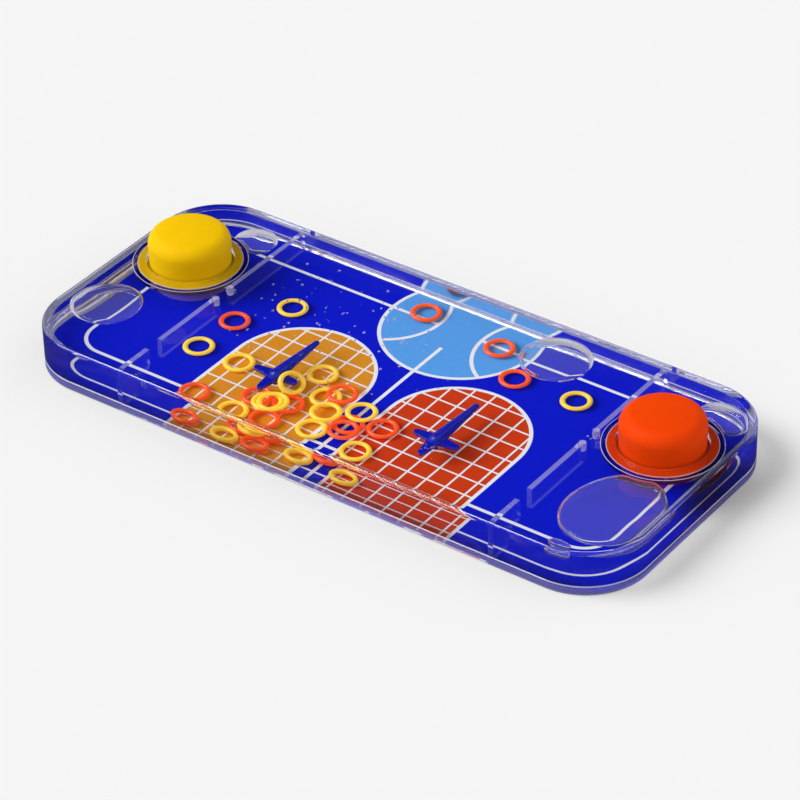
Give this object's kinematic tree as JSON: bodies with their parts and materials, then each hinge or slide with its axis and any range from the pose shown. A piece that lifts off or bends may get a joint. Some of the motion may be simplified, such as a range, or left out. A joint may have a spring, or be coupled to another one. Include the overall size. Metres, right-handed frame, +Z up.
{
  "type": "handheld water game",
  "caption": "Flat clear tank with rounded corners over a printed court card, with two sprung rubber push bulbs, pegs in the water and loose rings to flick onto them.",
  "frame": {"origin": "middle of the footprint, on the surface that the game lies on", "axes": "+X runs along the case to the orange bulb's end, +Y to the long edge that the bulbs are nearer to, +Z up out of the face"},
  "size_m": [0.16, 0.071, 0.0191],
  "materials": {
    "clear_shell": "clear moulded plastic, polished",
    "clear_base": "clear moulded plastic, polished",
    "clear_seat": "clear moulded plastic, polished",
    "court_card": "printed in blue, light blue, yellow and orange with white lines, satin",
    "yellow_rubber": "soft satin silicone",
    "orange_rubber": "soft satin silicone",
    "blue_plastic": "moulded, satin",
    "yellow_ring_plastic": "moulded, satin",
    "orange_ring_plastic": "moulded, satin"
  },
  "bodies": {
    "case": {"front_shell": "clear_shell", "base_tray": "clear_base", "printed_card": "court_card", "left_bulb_seat": "clear_seat", "right_bulb_seat": "clear_seat", "left_bulb_flange": "yellow_rubber", "right_bulb_flange": "orange_rubber", "left_peg": "blue_plastic", "right_peg": "blue_plastic"},
    "left_button": {"left_bulb": "yellow_rubber"},
    "right_button": {"right_bulb": "orange_rubber"},
    "loose_yellow_ring_01": {"yellow_ring_01": "yellow_ring_plastic"},
    "loose_yellow_ring_02": {"yellow_ring_02": "yellow_ring_plastic"},
    "loose_yellow_ring_03": {"yellow_ring_03": "yellow_ring_plastic"},
    "loose_yellow_ring_04": {"yellow_ring_04": "yellow_ring_plastic"},
    "loose_yellow_ring_05": {"yellow_ring_05": "yellow_ring_plastic"},
    "loose_yellow_ring_06": {"yellow_ring_06": "yellow_ring_plastic"},
    "loose_yellow_ring_07": {"yellow_ring_07": "yellow_ring_plastic"},
    "loose_yellow_ring_08": {"yellow_ring_08": "yellow_ring_plastic"},
    "loose_yellow_ring_09": {"yellow_ring_09": "yellow_ring_plastic"},
    "loose_yellow_ring_10": {"yellow_ring_10": "yellow_ring_plastic"},
    "loose_yellow_ring_11": {"yellow_ring_11": "yellow_ring_plastic"},
    "loose_yellow_ring_12": {"yellow_ring_12": "yellow_ring_plastic"},
    "loose_yellow_ring_13": {"yellow_ring_13": "yellow_ring_plastic"},
    "loose_yellow_ring_14": {"yellow_ring_14": "yellow_ring_plastic"},
    "loose_orange_ring_01": {"orange_ring_01": "orange_ring_plastic"},
    "loose_orange_ring_02": {"orange_ring_02": "orange_ring_plastic"},
    "loose_orange_ring_03": {"orange_ring_03": "orange_ring_plastic"},
    "loose_orange_ring_04": {"orange_ring_04": "orange_ring_plastic"},
    "loose_orange_ring_05": {"orange_ring_05": "orange_ring_plastic"},
    "loose_orange_ring_06": {"orange_ring_06": "orange_ring_plastic"},
    "loose_orange_ring_07": {"orange_ring_07": "orange_ring_plastic"},
    "loose_orange_ring_08": {"orange_ring_08": "orange_ring_plastic"},
    "loose_orange_ring_09": {"orange_ring_09": "orange_ring_plastic"},
    "loose_orange_ring_10": {"orange_ring_10": "orange_ring_plastic"},
    "loose_orange_ring_11": {"orange_ring_11": "orange_ring_plastic"},
    "loose_orange_ring_12": {"orange_ring_12": "orange_ring_plastic"}
  },
  "joints": [
    {"name": "left_bulb_press", "type": "slide", "parent": "case", "child": "left_button", "axis": [0, 0, -1], "range_m": [0, 0.004], "stiffness_N_per_m": 700},
    {"name": "right_bulb_press", "type": "slide", "parent": "case", "child": "right_button", "axis": [0, 0, -1], "range_m": [0, 0.004], "stiffness_N_per_m": 700},
    {"name": "yellow_ring_01_lift", "type": "slide", "parent": "case", "child": "loose_yellow_ring_01", "axis": [0, 0, 1], "range_m": [0, 0.0055]},
    {"name": "yellow_ring_02_lift", "type": "slide", "parent": "case", "child": "loose_yellow_ring_02", "axis": [0, 0, 1], "range_m": [0, 0.0055]},
    {"name": "yellow_ring_03_lift", "type": "slide", "parent": "case", "child": "loose_yellow_ring_03", "axis": [0, 0, 1], "range_m": [0, 0.0055]},
    {"name": "yellow_ring_04_lift", "type": "slide", "parent": "case", "child": "loose_yellow_ring_04", "axis": [0, 0, 1], "range_m": [0, 0.0055]},
    {"name": "yellow_ring_05_lift", "type": "slide", "parent": "case", "child": "loose_yellow_ring_05", "axis": [0, 0, 1], "range_m": [0, 0.0055]},
    {"name": "yellow_ring_06_lift", "type": "slide", "parent": "case", "child": "loose_yellow_ring_06", "axis": [0, 0, 1], "range_m": [0, 0.002]},
    {"name": "yellow_ring_07_lift", "type": "slide", "parent": "loose_yellow_ring_06", "child": "loose_yellow_ring_07", "axis": [0, 0, 1], "range_m": [0, 0.002]},
    {"name": "yellow_ring_08_lift", "type": "slide", "parent": "loose_orange_ring_07", "child": "loose_yellow_ring_08", "axis": [0, 0, 1], "range_m": [0, 0.002]},
    {"name": "yellow_ring_09_lift", "type": "slide", "parent": "case", "child": "loose_yellow_ring_09", "axis": [0, 0, 1], "range_m": [0, 0.0055]},
    {"name": "yellow_ring_10_aside", "type": "slide", "parent": "case", "child": "loose_yellow_ring_10", "axis": [0, -1, 0], "range_m": [0, 0.002]},
    {"name": "yellow_ring_11_aside", "type": "slide", "parent": "loose_orange_ring_09", "child": "loose_yellow_ring_11", "axis": [0, -1, 0], "range_m": [0, 0.0015]},
    {"name": "yellow_ring_12_aside", "type": "slide", "parent": "loose_yellow_ring_11", "child": "loose_yellow_ring_12", "axis": [0, -1, 0], "range_m": [0, 0.002]},
    {"name": "yellow_ring_13_lift", "type": "slide", "parent": "case", "child": "loose_yellow_ring_13", "axis": [0, 0, 1], "range_m": [0, 0.0055]},
    {"name": "yellow_ring_14_lift", "type": "slide", "parent": "case", "child": "loose_yellow_ring_14", "axis": [0, 0, 1], "range_m": [0, 0.001]},
    {"name": "orange_ring_01_lift", "type": "slide", "parent": "case", "child": "loose_orange_ring_01", "axis": [0, 0, 1], "range_m": [0, 0.0055]},
    {"name": "orange_ring_02_lift", "type": "slide", "parent": "case", "child": "loose_orange_ring_02", "axis": [0, 0, 1], "range_m": [0, 0.0055]},
    {"name": "orange_ring_03_lift", "type": "slide", "parent": "case", "child": "loose_orange_ring_03", "axis": [0, 0, 1], "range_m": [0, 0.0055]},
    {"name": "orange_ring_04_lift", "type": "slide", "parent": "case", "child": "loose_orange_ring_04", "axis": [0, 0, 1], "range_m": [0, 0.0055]},
    {"name": "orange_ring_05_lift", "type": "slide", "parent": "loose_yellow_ring_06", "child": "loose_orange_ring_05", "axis": [0, 0, 1], "range_m": [0, 0.002]},
    {"name": "orange_ring_06_aside", "type": "slide", "parent": "case", "child": "loose_orange_ring_06", "axis": [1, 0, 0], "range_m": [0, 0.002]},
    {"name": "orange_ring_07_aside", "type": "slide", "parent": "case", "child": "loose_orange_ring_07", "axis": [0, -1, 0], "range_m": [0, 0.0008]},
    {"name": "orange_ring_08_lift", "type": "slide", "parent": "loose_orange_ring_07", "child": "loose_orange_ring_08", "axis": [0, 0, 1], "range_m": [0, 0.002]},
    {"name": "orange_ring_09_aside", "type": "slide", "parent": "case", "child": "loose_orange_ring_09", "axis": [-1, 0, 0], "range_m": [0, 0.0015]},
    {"name": "orange_ring_10_aside", "type": "slide", "parent": "case", "child": "loose_orange_ring_10", "axis": [1, 0, 0], "range_m": [0, 0.001]},
    {"name": "orange_ring_11_lift", "type": "slide", "parent": "case", "child": "loose_orange_ring_11", "axis": [0, 0, 1], "range_m": [0, 0.0055]},
    {"name": "orange_ring_12_aside", "type": "slide", "parent": "case", "child": "loose_orange_ring_12", "axis": [0, -1, 0], "range_m": [0, 0.002]}
  ]
}
